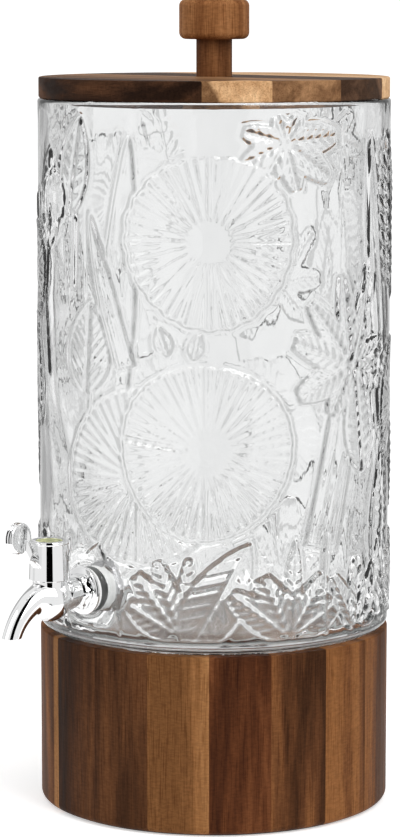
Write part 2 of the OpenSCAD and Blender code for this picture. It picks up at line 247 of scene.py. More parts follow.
def acacia(name, dark, middle, light, grain="Z", seed=0.0, figure=34.0, lean=0.0, streak=None):
    """Oiled acacia: broad heartwood figure, narrow streaks and open pores, all drawn out along the grain.

    streak is (direction, low, high, soft, wander, tones), a band of other wood between two distances.
    """
    t = Tree(name)
    drawn = {"Z": (1.0, 1.0, 0.07), "X": (0.07, 1.0, 1.0)}[grain]
    pores = {"Z": (1.0, 1.0, 0.04), "X": (0.04, 1.0, 1.0)}[grain]
    cross = {"Z": (0.35, 0.35, 1.0), "X": (1.0, 0.35, 0.35)}[grain]
    tilt = {"Z": (lean, 0, 0), "X": (0, 0, lean)}[grain]
    shift = (seed, seed * 0.7, seed * 0.3)
    broad = t.noise(t.mapped(drawn, shift, tilt), figure, 3.0, 0.55, 0.9)
    narrow = t.noise(t.mapped(drawn, shift, tilt), figure * 7, 4.0, 0.6, 0.3)
    mixed = t.math("ADD", t.math("MULTIPLY", broad, 0.78), t.math("MULTIPLY", narrow, 0.22))
    colour = t.ramp(mixed, [(0.4, linear(dark)), (0.5, linear(middle)), (0.6, linear(light))])
    if streak is not None:
        direction, low, high, soft, wander, tones = streak
        other = t.ramp(mixed, [(0.4, linear(tones[0])), (0.5, linear(tones[1])), (0.6, linear(tones[2]))])
        after_low = t.beyond(direction, low, soft, wander)
        band = t.math("SUBTRACT", after_low, t.beyond(direction, high, soft, wander))
        colour = t.tint(colour, other, "MIX", band)
    vessels = t.noise(t.mapped(pores, shift), 1500.0, 2.0, 0.5)
    colour = t.tint(colour, t.ramp(vessels, [(0.34, (0.68, 0.62, 0.57, 1)), (0.5, (1, 1, 1, 1))]))
    flecks = t.noise(t.mapped(cross, shift), 900.0, 2.0, 0.5)
    colour = t.tint(colour, t.ramp(flecks, [(0.35, (0.86, 0.85, 0.83, 1)), (0.65, (1.1, 1.1, 1.1, 1))]))
    t.set(Base_Color=colour, Roughness=t.span(narrow, 0.42, 0.6), Specular_IOR_Level=0.04)
    t.bump(vessels, 0.35, 0.0004)
    return t.material


def chrome(name):
    """Polished plating with the faintest cast ripple and hairline wear."""
    tone = 0.88
    t = Tree(name)
    cloud = t.noise(t.mapped((1, 1, 1)), 160.0, 3.0)
    hair = t.noise(t.mapped((1, 8, 1)), 900.0, 2.0)
    base = t.ramp(cloud, [(0.3, (tone - 0.02, tone - 0.015, tone - 0.01, 1)), (0.7, (tone, tone, tone, 1))])
    t.set(Base_Color=base, Metallic=1.0, Roughness=t.span(hair, 0.03, 0.07))
    t.bump(cloud, 0.02, 0.0002)
    return t.material


def steel(name):
    """Turned stainless steel with a fine brushed lay."""
    t = Tree(name)
    lay = t.noise(t.mapped((1, 30, 1)), 400.0, 4.0)
    base = t.ramp(lay, [(0.3, (0.5, 0.5, 0.52, 1)), (0.7, (0.72, 0.72, 0.72, 1))])
    t.set(Base_Color=base, Metallic=1.0, Roughness=t.span(lay, 0.2, 0.4))
    t.bump(lay, 0.1, 0.0001)
    return t.material


def moulded(name, first, second, scale, rough, clear=0.0, grain=0.1):
    """A moulded plastic or rubber of two close tones."""
    t = Tree(name)
    cloud = t.noise(t.mapped((1, 1, 1)), scale, 4.0, 0.6)
    fine = t.noise(t.mapped((1, 1, 1)), scale * 12, 2.0)
    colour = t.ramp(cloud, [(0.35, linear(first)), (0.65, linear(second))])
    t.set(Base_Color=colour, Roughness=t.span(fine, rough - 0.06, rough + 0.08), Transmission_Weight=clear)
    t.bump(fine, grain, 0.0002)
    return t.material


def pressed_glass(name):
    """Clear pressed glass. Shadow rays pass straight through, so the lamps light what is behind it."""
    t = Tree(name)
    cloud = t.noise(t.mapped((1, 1, 0.6)), 55.0, 3.0, 0.5, 0.4)
    fine = t.noise(t.mapped((1, 1, 0.7)), 300.0, 2.0, 0.5)
    base = t.ramp(cloud, [(0.3, (0.93, 0.935, 0.935, 1)), (0.7, (0.965, 0.968, 0.968, 1))])
    t.set(Base_Color=base, Roughness=0.0, IOR=1.5, Transmission_Weight=1.0, Specular_IOR_Level=0.5)
    height = t.math("ADD", cloud, t.math("MULTIPLY", fine, 0.12))
    t.bump(height, 0.14, 0.0009)
    clear = t.nodes.new("ShaderNodeBsdfTransparent")
    clear.inputs["Color"].default_value = (0.93, 0.935, 0.935, 1)
    path = t.nodes.new("ShaderNodeLightPath")
    mix = t.nodes.new("ShaderNodeMixShader")
    t.links.new(path.outputs["Is Shadow Ray"], mix.inputs[0])
    t.links.new(t.shader.outputs[0], mix.inputs[1])
    t.links.new(clear.outputs[0], mix.inputs[2])
    t.links.new(mix.outputs[0], t.output.inputs["Surface"])
    return t.material


def dress(piece, material):
    """Gives a piece this one material."""
    piece.data.materials.clear()
    piece.data.materials.append(material)


def finish_cad(node, material):
    """Gives a CAD node that is shown as it is a new material."""
    for slot in nodes[node].material_slots:
        slot.material = material


def stand_for(piece, node, body, material):
    """Dresses a new piece, puts it on its body and lets it stand for a CAD node."""
    dress(piece, material)
    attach(piece, body)
    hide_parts(node)


# ---------------------------------------------------------------- leaf relief
COLUMNS = 720
PITCH = 2 * math.pi * WALL_R / COLUMNS  # the same step round the jar and up it
ROW_LOW, ROW_HIGH = -28, 306
row = np.arange(ROW_LOW, ROW_HIGH + 1)
column = np.arange(COLUMNS)
TURN, HEIGHT = np.meshgrid(column * 360 / COLUMNS, TAP_Z + row * PITCH)
relief = np.zeros(TURN.shape)


def local(turn, height, tilt=0.0):
    """Millimetres along and across a leaf that points tilt degrees from straight up, to the right."""
    across = np.radians((TURN - turn + 180) % 360 - 180) * WALL_R
    up = HEIGHT - height
    c, s = math.cos(math.radians(tilt)), math.sin(math.radians(tilt))
    return up * c + across * s, across * c - up * s


def line(distance, width, depth):
    """A groove or, with a negative depth, a bead along distance 0."""
    return -depth * np.clip(1 - np.abs(distance) / width, 0, 1) ** 0.8


def lay(inside, surface, level=0.8, edge=0.9, rim=0.4):
    """Lays a leaf over the relief. inside is the depth in millimetres inside its outline."""
    global relief
    cover = np.clip(inside / edge, 0, 1)
    bead = rim * np.clip(1 - np.abs(inside - 1.5) / 1.2, 0, 1)
    relief = relief * (1 - cover) + (level + surface + bead) * cover
    relief = relief + line(inside + 0.8, 1.6, 0.75)


def round_leaf(turn, height, radius, ribs, notch=None, scallop=0.04, level=0.9, centre=4.0):
    """A pleated pad: ribs run out from its middle to a gently scalloped edge, with an optional notch."""
    up, across = local(turn, height)
    away, around = np.hypot(up, across), np.arctan2(across, up)
    saw = np.abs(((around * ribs / (2 * math.pi)) % 1) - 0.5) * 2
    edge = radius * (1 + scallop * (saw - 0.5) + 0.02 * np.sin(3 * around + turn))
    spread = np.clip((away - centre) / 9, 0, 1)
    groove = line((1 - saw) * away * math.pi / ribs, 1.9, 1.2) * spread
    pleat = 1.1 * (saw - 0.45) * np.clip(away / (0.7 * radius), 0, 1)
    inside = edge - away
    if notch is not None:
        off = (around - math.radians(notch) + math.pi) % (2 * math.pi) - math.pi
        inside = np.minimum(inside, np.abs(off) * away - 1.2 + np.clip(12 - away, 0, 12))
    lay(inside, groove + pleat, level)


def blade(turn, height, length, width, tilt, veins=7, slope=0.8, level=0.8, belly=0.42, side=0.0):
    """A pointed leaf with a midrib and slanting side veins. Its stalk end is at turn, height."""
    up, across = local(turn, height, tilt)
    across = across - side * np.sin(np.clip(up / length, 0, 1) * math.pi) * width
    part = np.clip(up / length, 0, 1)
    half = width / 2 * np.sin(math.pi * part ** (math.log(0.5) / math.log(belly))) ** 0.75
    inside = np.minimum(half - np.abs(across), np.minimum(up, length - up))
    pitch = length / veins
    vein = ((up - np.abs(across) * slope) / pitch) % 1
    ribs = line(np.minimum(vein, 1 - vein) * pitch * 0.75, 1.6, 0.85)
    folds = 0.6 * (np.abs(vein - 0.5) * 2 - 0.5)
    lay(inside, np.where(np.abs(across) < 1.4, 0.0, ribs + folds) + line(across, 1.6, -0.45), level)


def lobed(turn, height, lobes, level=0.85):
    """A split leaf: fingers (angle, length, width) that run out from one point, each with its own rib."""
    inside = np.full(TURN.shape, -9.0)
    surface = np.zeros(TURN.shape)
    for angle, length, width in lobes:
        up, across = local(turn, height, angle)
        part = np.clip(up / length, 0, 1)
        half = 0.64 * width * (0.3 + 0.7 * np.sin(math.pi * np.clip(part * 0.9 + 0.06, 0, 1)) ** 0.8)
        one = np.minimum(half - np.abs(across), np.minimum(up + 2, length - up))
        veins = 0.3 * np.sin((up - np.abs(across)) * 2 * math.pi / 5.5)
        rib = line(across, 1.8, 1.0) + veins + 0.5 * np.abs(across) / width
        surface = np.where(one > inside, rib, surface)
        inside = np.maximum(inside, one)
    lay(inside, surface, level)


def frond(turn, height, length, spread, tilt, leaflets, width, level=0.75):
    """A feather palm: a stem with pairs of narrow leaflets."""
    lobes = []
    for k in range(leaflets):
        part = (k + 1) / (leaflets + 1)
        lobes.append((part, spread * math.sin(math.pi * (0.25 + 0.7 * part))))
    up, across = local(turn, height, tilt)
    for part, reach in lobes:
        for side in (-1, 1):
            out = np.abs(across) * (np.sign(across) == side)
            rise = up - length * part
            along = out * 0.8 + rise * 0.6
            off = rise * 0.8 - out * 0.6
            half = width / 2 * np.sin(math.pi * np.clip(along / reach, 0, 1)) ** 0.6
            leaflet = np.minimum(half - np.abs(off), np.minimum(along, reach - along))
            inside = np.where(np.sign(across) == side, leaflet, -9.0)
            lay(inside, line(off, 0.9, 0.35), level, rim=0.15)
    stem(turn, height, length, tilt)


def stem(turn, height, length, tilt, width=1.8, rise=1.3, bend=0.0):
    """A round stem, bent sideways by bend millimetres half way along."""
    global relief
    up, across = local(turn, height, tilt)
    across = across - bend * np.sin(math.pi * np.clip(up / length, 0, 1))
    reach = np.clip(np.minimum(up, length - up) / 3, 0, 1)
    bead = rise * np.sqrt(np.clip(1 - (across / width) ** 2, 0, 1)) * reach
    relief = np.where(bead > 0, np.maximum(relief, bead), relief)
    relief = relief + line(np.abs(across) - width, 0.8, 0.25) * reach


def strap(turn, height, length, width, tilt, bend, level=0.7, ribs=2):
    """A long drooping strap leaf with ribs along it."""
    up, across = local(turn, height, tilt)
    across = across - bend * np.sin(math.pi * 0.5 * np.clip(up / length, 0, 1))
    half = width / 2 * np.clip((length - up) / (0.5 * length), 0, 1) ** 0.6
    inside = np.minimum(half - np.abs(across), np.minimum(up, length - up))
    surface = np.zeros(TURN.shape)
    for k in range(ribs):
        surface = surface + line(across - width * ((k + 1) / (ribs + 1) - 0.5), 0.9, 0.35)
    lay(inside, surface, level, rim=0.2)


def background():
    """Faint upright folds behind the leaves."""
    global relief
    sway = 9 * np.sin(HEIGHT / 38) + 5 * np.sin(HEIGHT / 17 + np.radians(TURN) * 3)
    place_on = np.radians(TURN) * WALL_R + sway
    folds = 0.14 * np.sin(place_on / 4.6) + 0.06 * np.sin(place_on / 2.6 + HEIGHT / 30)
    relief = relief + folds


background()

# Upper part, from behind to the front
strap(6, 200, 200, 26, 4, 6)
strap(118, 230, 170, 24, -6, -8)
strap(80, 165, 150, 22, 10, 6)
blade(-24, 330, 60, 30, 6, 8)
blade(-9, 352, 58, 26, 12, 8)
round_leaf(-19, 362, 16, 14, level=0.7, centre=3)
stem(-25, 300, 60, 8)
stem(-6, 310, 45, 2)
blade(0, 252, 52, 34, 4, 8, slope=1.2)
stem(-22, 258, 52, -6)
strap(16, 268, 90, 13, -14, -4, level=1.1)
lobed(
    67, 395,
    [(-150, 30, 11), (-115, 28, 12), (-75, 26, 11), (-20, 17, 9), (30, 18, 9), (85, 34, 14), (125, 36, 14),
     (165, 28, 12)],
)
lobed(
    93, 268,
    [(-40, 48, 13), (-70, 44, 14), (-112, 42, 16), (-8, 52, 12), (22, 54, 12), (75, 40, 13), (112, 34, 13),
     (150, 36, 14), (-150, 32, 14)],
    level=1.0,
)
stem(93, 268, 60, 14, 1.6, 1.5, 3)
round_leaf(43, 340, 49, 24, scallop=0.03, level=0.9)
blade(30, 276, 18, 12, -20, 4)
blade(38, 274, 16, 10, 12, 4)
round_leaf(20, 206, 50, 24, scallop=0.01, level=0.8)
round_leaf(42, 222, 50, 26, notch=-82, scallop=0.01, level=1.2)
blade(100, 205, 60, 30, -8, 10, slope=0.4)
blade(112, 132, 90, 30, 4, 8, slope=0.3)

# Right side, back and left side
frond(128, 300, 100, 26, -8, 9, 8)
round_leaf(152, 345, 46, 24, scallop=0.06, level=1.0)
lobed(
    178, 390,
    [(-140, 34, 13), (-100, 32, 12), (-60, 24, 10), (-15, 18, 9), (35, 20, 10), (80, 34, 13), (125, 36, 14),
     (170, 32, 12)],
)
strap(170, 230, 150, 24, 6, 8)
blade(182, 285, 70, 34, -14, 9)
round_leaf(134, 240, 38, 22, notch=200, scallop=0.03, level=0.9)
round_leaf(160, 205, 50, 26, notch=120, scallop=0.03, level=1.2)
lobed(
    205, 300,
    [(-45, 48, 14), (-85, 42, 14), (-125, 38, 14), (-5, 52, 12), (35, 50, 13), (75, 42, 14), (115, 40, 14),
     (160, 38, 14)],
    level=1.0,
)
frond(238, 318, 84, 24, 10, 9, 7)
round_leaf(262, 352, 42, 24, scallop=0.06, level=1.0)
round_leaf(206, 212, 42, 22, notch=-60, scallop=0.03, level=1.0)
strap(228, 190, 120, 22, -4, -6)
blade(248, 262, 62, 32, 16, 9)
round_leaf(240, 208, 50, 26, notch=90, scallop=0.03, level=1.2)
lobed(
    292, 392,
    [(-140, 32, 12), (-95, 30, 12), (-50, 22, 10), (0, 16, 9), (50, 22, 10), (95, 32, 13), (140, 34, 13)],
)
lobed(
    288, 285,
    [(-50, 44, 13), (-90, 40, 13), (-130, 36, 13), (-10, 50, 12), (30, 48, 12), (70, 40, 13), (110, 38, 13),
     (155, 36, 13)],
    level=1.0,
)
round_leaf(278, 205, 46, 24, notch=160, scallop=0.03, level=1.0)
strap(312, 215, 150, 24, 4, 6)
round_leaf(318, 318, 30, 18, scallop=0.05, level=0.9)
blade(322, 225, 70, 32, -10, 9)
blade(306, 180, 60, 28, 12, 8)

# Bottom band
lobed(34, 116, [(-38, 44, 14), (-18, 46, 12), (6, 46, 8), (26, 40, 10), (-62, 36, 14)], level=1.0)
blade(36, 108, 72, 34, 30, 9, slope=-0.9, level=1.3)
lobed(69, 114, [(-52, 44, 15), (-24, 40, 15), (4, 52, 9), (34, 42, 15), (62, 40, 15)], level=1.1)
stem(70, 112, 60, 2, 1.6, 1.6)
stem(83, 110, 64, 0, 1.8, 1.7, -2)
lobed(97, 112, [(-30, 40, 12), (0, 44, 13), (28, 42, 12), (58, 34, 12)], level=0.9)
blade(116, 110, 60, 30, -6, 8)
stem(14, 110, 24, -10, 1.3, 1.0)
for start in range(134, 340, 34):
    lobed(
        start, 114,
        [(-56, 40, 14), (-28, 44, 13), (2, 50, 10), (30, 42, 13), (60, 38, 14)],
        level=1.1,
    )
    stem(start + 11, 110, 58, 3, 1.7, 1.5)
    blade(start + 17, 108, 62, 30, 18, 9, slope=-0.8, level=1.2)


def soften(field, times):
    """Rounds the relief as hot glass does, one small blur at a time."""
    for _ in range(times):
        field = (np.roll(field, 1, 1) + 2 * field + np.roll(field, -1, 1)) / 4
        padded = np.pad(field, ((1, 1), (0, 0)), mode="edge")
        field = (padded[:-2] + 2 * field + padded[2:]) / 4
    return field


def smooth_step(value, low, high):
    t = np.clip((value - low) / (high - low), 0, 1)
    return t * t * (3 - 2 * t)


relief = soften(np.clip(relief, -0.5, 2.4), 1)
wave = 2.0 * np.sin(np.radians(TURN) * 14) + 1.2 * np.sin(np.radians(TURN) * 31)
relief = relief * smooth_step(HEIGHT, 113, 116) * (1 - smooth_step(HEIGHT + wave, 408, 412))

# ---------------------------------------------------------------- glass jar
beside = np.radians((TURN + 180) % 360 - 180) * WALL_R
above = HEIGHT - TAP_Z
from_tap = np.hypot(beside, above)
relief = relief * smooth_step(from_tap, BOSS_R - 2, BOSS_R + 8)


def round_hole(across, up, outer):
    """Moves grid points near the tap so that a square of the grid becomes a round hole of HOLE_R."""
    square = np.maximum(np.abs(across), np.abs(up))
    away = np.hypot(across, up)
    target = np.interp(square, [0, HOLE_CELLS * PITCH, outer], [0, HOLE_R, outer])
    share = (1 - smooth_step(square, 10, outer)) * (square < outer)
    factor = np.where(away > 1e-6, target / np.maximum(away, 1e-6), 1.0)
    return across * (1 + share * (factor - 1)), up * (1 + share * (factor - 1))


def wall(rows_above, base_r, pad_distance, height_field):
    """Points of a wall: base radius plus relief, with a flat round pad and a hole for the tap."""
    signed = np.where(column < COLUMNS / 2, column, column - COLUMNS)
    across = signed[None, :] * PITCH + 0 * rows_above[:, None]
    up = rows_above[:, None] + 0 * across
    across, up = round_hole(across, up, HOLE_BLEND)
    angle = across / WALL_R
    pad = pad_distance / np.cos(np.clip(angle, -0.4, 0.4))
    covered = 1 - smooth_step(np.hypot(across, up), BOSS_R - 6, BOSS_R + 8)
    radius = base_r + height_field
    radius = radius * (1 - covered) + pad * covered
    return np.stack([radius * np.sin(angle), -radius * np.cos(angle), TAP_Z + up], axis=-1)


def rings_of(profile):
    """Rings turned about Z, with the same columns as the wall, from (radius, height) pairs."""
    angle = np.radians(column * 360 / COLUMNS)[None, :]
    radius = np.array([[r] for r, _ in profile])
    height = np.array([[z] for _, z in profile])
    return np.stack([radius * np.sin(angle), -radius * np.cos(angle), height + 0 * angle], axis=-1)


def make_jar():
    foot = [(1, 101), (60, 101), (79.5, 101), (80.3, 100.2), (81, JAR_BASE), (94.8, JAR_BASE), (95.5, 100.7)]
    foot += [(95.5, 105.4), (95.8, 106)] + arc((98.5, 111), 5.0, -90, -4, 9)
    lip = arc((101.5, 415.5), 2.0, 0, 90, 5) + arc((100.5, 415.5), 2.0, 90, 180, 5)
    down = [(INNER_R, z) for z in (405, 385, 360, 330, 300, 270, 240, 210, 185, 170)]
    floor = arc((90.5, 118), 8.0, 0, -90, 9) + [(60, INNER_FLOOR), (25, INNER_FLOOR), (1, INNER_FLOOR)]
    inner_top, inner_low = 28, -22
    inner_rows = np.arange(inner_top, inner_low - 1, -1)
    outer = wall(row * PITCH, WALL_R, PAD_OUT, relief)
    inner = wall(inner_rows * PITCH, INNER_R, PAD_IN, 0.0)
    rings = np.concatenate([rings_of(foot), outer, rings_of(lip + down), inner, rings_of(floor)])
    outer_at = len(foot) - ROW_LOW
    inner_at = len(foot) + len(outer) + len(lip) + len(down) + inner_top
    keep = np.ones((len(rings) - 1, COLUMNS), bool)
    n = HOLE_CELLS
    for middle in (outer_at, inner_at):
        keep[middle - n:middle + n, :n] = False
        keep[middle - n:middle + n, -n:] = False
    faces = ring_faces(len(rings), COLUMNS, keep)
    edge = [(-n, k) for k in range(-n, n)] + [(k, n) for k in range(-n, n)]
    edge += [(n, -k) for k in range(-n, n)] + [(-k, -n) for k in range(-n, n)]
    outside = [(outer_at + i) * COLUMNS + j % COLUMNS for i, j in edge]
    inside = [(inner_at - i) * COLUMNS + j % COLUMNS for i, j in edge]
    for k in range(len(edge)):
        after = (k + 1) % len(edge)
        faces.append(np.array([outside[k], outside[after], inside[after], inside[k]]))
    return build("embossed_jar", rings.reshape(-1, 3), faces, crisp=60)


stand_for(make_jar(), "glass_jar", "jar", pressed_glass("clear_pressed_glass"))

# ---------------------------------------------------------------- tap
plated = chrome("bright_chrome")


def soft_union(first, second, width):
    """The smaller of two distances, with a fillet of about this width where they meet."""
    blend = np.clip(0.5 + 0.5 * (second - first) / width, 0, 1)
    return second * (1 - blend) + first * blend - width * blend * (1 - blend)


SPOUT_CENTRE = (129.8, 106.8)  # reach and height
SPOUT_BEND = 34.3
OUTLET_R = 5.35
OUTLET_Z = 118.5
STUB_ENDS = ((112.0, 138.4), (133.0, 136.6))
BELLY_CENTRE = (133.5, 136.0)
BELLY_R = 11.3
WATERWAY_R = 4.1


def body_distance(across, reach, height):
    """Distance from the tap body's skin: the stub, the round belly and the bent, tapering spout."""
    start, end = np.array(STUB_ENDS)
    run = end - start
    part = np.clip(((reach - start[0]) * run[0] + (height - start[1]) * run[1]) / (run @ run), 0, 1)
    stub = np.sqrt(across**2 + (reach - start[0] - part * run[0]) ** 2
                   + (height - start[1] - part * run[1]) ** 2)
    stub = stub - (8.5 + 2.2 * part**1.5)
    belly = np.sqrt(across**2 + (reach - BELLY_CENTRE[0]) ** 2 + (height - BELLY_CENTRE[1]) ** 2) - BELLY_R
    bend = np.clip(np.arctan2(reach - SPOUT_CENTRE[0], height - SPOUT_CENTRE[1]), 0, math.radians(85))
    from_line = np.hypot(reach - SPOUT_CENTRE[0] - SPOUT_BEND * np.sin(bend),
                         height - SPOUT_CENTRE[1] - SPOUT_BEND * np.cos(bend))
    thick = OUTLET_R + 4.25 * np.clip(1 - np.degrees(bend) / 70, 0, 1) ** 1.7
    spout = np.hypot(from_line, across) - thick
    return soft_union(soft_union(stub, belly, 4.0), spout, 3.0)


def body_path(steps):
    """Points down the middle of the body, from the collar to just past the outlet, and their directions."""
    stations = [(113.6, 138.3), (121.0, 137.8), (128.0, 137.5), (134.5, 138.0)]
    for bend in range(20, 91, 10):
        angle = math.radians(bend)
        stations.append((SPOUT_CENTRE[0] + SPOUT_BEND * math.sin(angle),
                         SPOUT_CENTRE[1] + SPOUT_BEND * math.cos(angle)))
    stations = np.array(stations)
    length = np.concatenate([[0], np.cumsum(np.hypot(*np.diff(stations, axis=0).T))])
    where = np.linspace(0, length[-1], steps)
    line_points = np.stack([np.interp(where, length, stations[:, k]) for k in (0, 1)], axis=1)
    for _ in range(60):
        line_points[1:-1] = (line_points[:-2] + 2 * line_points[1:-1] + line_points[2:]) / 4
    heading = np.gradient(line_points, axis=0)
    return line_points, heading / np.linalg.norm(heading, axis=1, keepdims=True)


def cut_level(points, count):
    """Cuts each lengthwise line of points at the outlet's height and spaces it out again."""
    steps = np.arange(len(points))
    out = np.empty((count, points.shape[1], 3))
    for k in range(points.shape[1]):
        below = np.argmax(points[:, k, 2] < OUTLET_Z)
        high, low = points[below - 1, k, 2], points[below, k, 2]
        end = below - 1 + (high - OUTLET_Z) / (high - low)
        where = np.linspace(0, end, count)
        for axis in range(3):
            out[:, k, axis] = np.interp(where, steps, points[:, k, axis])
    return out


def make_tap_body():
    columns, steps = 120, 200
    middle, heading = body_path(steps)
    around = np.radians(np.arange(columns) * 360 / columns)[None, :]
    up_reach, up_height = -heading[:, 1:], heading[:, :1]
    low, high = np.zeros((steps, columns)), np.full((steps, columns), 18.0)

    def at(radius):
        across = radius * np.sin(around)
        lift = radius * np.cos(around)
        return across, middle[:, :1] + lift * up_reach, middle[:, 1:] + lift * up_height

    for _ in range(40):
        half = (low + high) / 2
        outside = body_distance(*at(half)) > 0
        high = np.where(outside, half, high)
        low = np.where(outside, low, half)

    def shell(radius):
        across, reach, height = at(radius)
        return np.stack([across, -reach, height], axis=-1)

    skin = cut_level(shell(low), 180)
    bore = cut_level(shell(np.full((steps, columns), WATERWAY_R))[70:], 60)[::-1]
    edge_out = skin[-1] * 0.97 + bore[0] * 0.03
    edge_in = skin[-1] * 0.1 + bore[0] * 0.9
    for ring in (edge_out, edge_in):
        ring[:, 2] = OUTLET_Z
    rings = np.concatenate([skin[:-1], skin[-1:] + [0, 0, 0.15], edge_out[None], edge_in[None], bore])
    sweep = rings.reshape(-1, 3), ring_faces(len(rings), columns)
    barrel = turned([(0.5, 137), (9.6, 137), (9.6, 157.5), (9.1, 158), (7.5, 158), (7.0, 157.5), (7.0, 141),
                     (0.5, 141)])
    barrel = place(barrel[0], 0, (0, -BARREL, 0)), barrel[1]
    return build("tap_body_chrome", *merge([sweep, barrel]), crisp=40)


stand_for(make_tap_body(), "tap_body", "jar", plated)


def hexagon(across_flats, angle):
    """Distance from the middle to a hexagon with flats above and below."""
    return across_flats / 2 / np.cos((angle + math.pi / 6) % (math.pi / 3) - math.pi / 6)


def plain_or_hex(across_flats, hex_low, hex_high):
    """A radius rule: the row's own radius, cut to a hexagon between two distances along the shank."""

    def rule(radius, reach, angle):
        if hex_low <= reach <= hex_high:
            return np.minimum(hexagon(across_flats, angle), radius)
        return radius + 0 * angle

    return rule


def make_shank():
    columns, thread_r, thread_pitch, thread_depth = 144, 8.0, 1.5, 0.75
    shell = [(119.0, 5.0), (119.0, 6.2), (118.7, 6.5), (113.52, 6.5), (113.5, 9.6), (112.7, 11.2)]
    shell += [(109.9, 11.2), (109.3, 10.2), (109.2, 9.4), (109.0, 9.4), (109.0, 13.0), (108.7, 13.6)]
    shell += [(108.2, 14.0), (107.2, 14.0), (106.7, 13.7), (106.5, 13.2), (106.5, 7.6)]
    thread = [(reach, thread_r) for reach in np.arange(106.2, 80.4, -0.25)]
    shell += thread + [(80.2, 7.0), (80.0, 6.8), (80.0, 5.2), (80.3, 5.0), (118.5, 5.0)]
    collar = plain_or_hex(19.0, 109.25, 113.51)

    def rule(radius, reach, angle):
        if radius == thread_r:
            phase = (angle / (2 * math.pi) + reach / thread_pitch) % 1
            return thread_r - thread_depth * np.abs(phase - 0.5) * 2
        return collar(radius, reach, angle)

    return build("threaded_shank", *along_tap(shell[::-1], columns, rule), crisp=35)


stand_for(make_shank(), "tap_shank", "jar", plated)


def make_nut():
    shell = [(93.8, 8.3), (93.8, 11.6), (93.3, 12.6), (92.6, 14.0), (88.0, 14.0), (87.3, 12.6), (86.8, 11.6)]
    shell += [(86.8, 8.3), (87.2, 7.9), (93.4, 7.9)]
    return build("lock_nut", *along_tap(shell[::-1], 144, plain_or_hex(24.0, 86.0, 94.0)), crisp=30)


brushed = steel("brushed_steel")
stand_for(make_nut(), "tap_lock_nut", "jar", brushed)


def make_arm():
    """The flat arm from the cap to the paddle, with rounded edges, in the handle's own frame."""
    hollow = arc((22.5, 148.0), 14.0, 152, 98, 10)
    outline = [(7.0, 170.4), (15.0, 171.0), (19.5, 173.6), (23.5, 174.5), (24.2, 168.0), (20.6, 161.9)]
    outline += hollow[::-1] + [(7.0, 153.6)]
    mesh = bmesh.new()
    sides = []
    for x in (-3.2, 3.2):
        sides.append([mesh.verts.new((x, -reach, height)) for reach, height in outline])
    mesh.faces.new(sides[0][::-1])
    mesh.faces.new(sides[1])
    count = len(outline)
    for k in range(count):
        mesh.faces.new([sides[0][k], sides[0][(k + 1) % count], sides[1][(k + 1) % count], sides[1][k]])
    bmesh.ops.recalc_face_normals(mesh, faces=mesh.faces)
    rims = [e for e in mesh.edges if abs(e.verts[0].co.x - e.verts[1].co.x) < 0.01]
    bmesh.ops.bevel(mesh, geom=rims, offset=0.9, segments=4, profile=0.5, affect="EDGES")
    mesh.verts.index_update()
    points = [tuple(v.co) for v in mesh.verts]
    faces = [np.array([v.index for v in f.verts]) for f in mesh.faces]
    mesh.free()
    return points, faces


def make_handle():
    skirt = [(9.7, 157.6), (9.7, 149.0), (9.9, 148.5), (11.4, 148.5), (11.62, 148.8), (11.6, 149.5)]
    skirt += [(10.95, 168.6), (11.0, 169.0), (11.3, 169.3), (11.4, 169.7), (11.4, 170.5), (11.2, 170.9)]
    skirt += [(10.9, 171.0), (8.0, 171.0), (7.6, 170.8), (7.45, 170.4), (7.45, 168.7), (0.5, 168.7)]
    cap = turned([(0.5, 158.3), (9.3, 158.3)] + skirt)
    disc = [(0.5, -2.35), (6.8, -2.35), (7.6, -2.5), (8.2, -2.45), (8.8, -2.0), (9.0, -1.4), (8.75, -1.15)]
    disc += [(8.55, -0.9), (8.75, -0.65), (9.0, -0.4), (9.0, 0.4), (8.75, 0.65), (8.55, 0.9), (8.75, 1.15)]
    disc += [(9.0, 1.4), (8.8, 2.0), (8.2, 2.45), (7.6, 2.5), (6.8, 2.35), (0.5, 2.35)]
    paddle_points, paddle_faces = turned(disc)
    tipped = paddle_points[:, [2, 0, 1]] + np.array([0, -26.5, 175.5])
    points, faces = merge([cap, (tipped, paddle_faces), make_arm()])
    return build("tap_handle_chrome", place(points, HANDLE_TURN, (0, -BARREL, 0)), faces, crisp=35)


stand_for(make_handle(), "tap_handle", "handle", plated)

# ---------------------------------------------------------------- small and hidden parts
silicone = moulded("pale_silicone", (226, 227, 225), (240, 241, 240), 90.0, 0.35)
for name in ("tap_outer_washer", "tap_inner_washer", "seat_ring"):
    finish_cad(name, silicone)
for name in ("tap_plate_washer", "handle_screw", "knob_screw", "screw_washer"):
    finish_cad(name, brushed)
rubber = moulded("black_rubber", (16, 16, 17), (28, 28, 29), 200.0, 0.55)
for name in ("plug_o_ring_upper", "plug_o_ring_lower"):
    finish_cad(name, rubber)
finish_cad("valve_plug", moulded("white_acetal", (232, 232, 228), (243, 243, 240), 120.0, 0.35))
finish_cad("foot_ring", moulded("closed_cell_foam", (42, 42, 42), (60, 59, 58), 500.0, 0.8, grain=0.8))
finish_cad("cap_insert", moulded("straw_plastic", (88, 98, 54), (226, 228, 150), 420.0, 0.25))

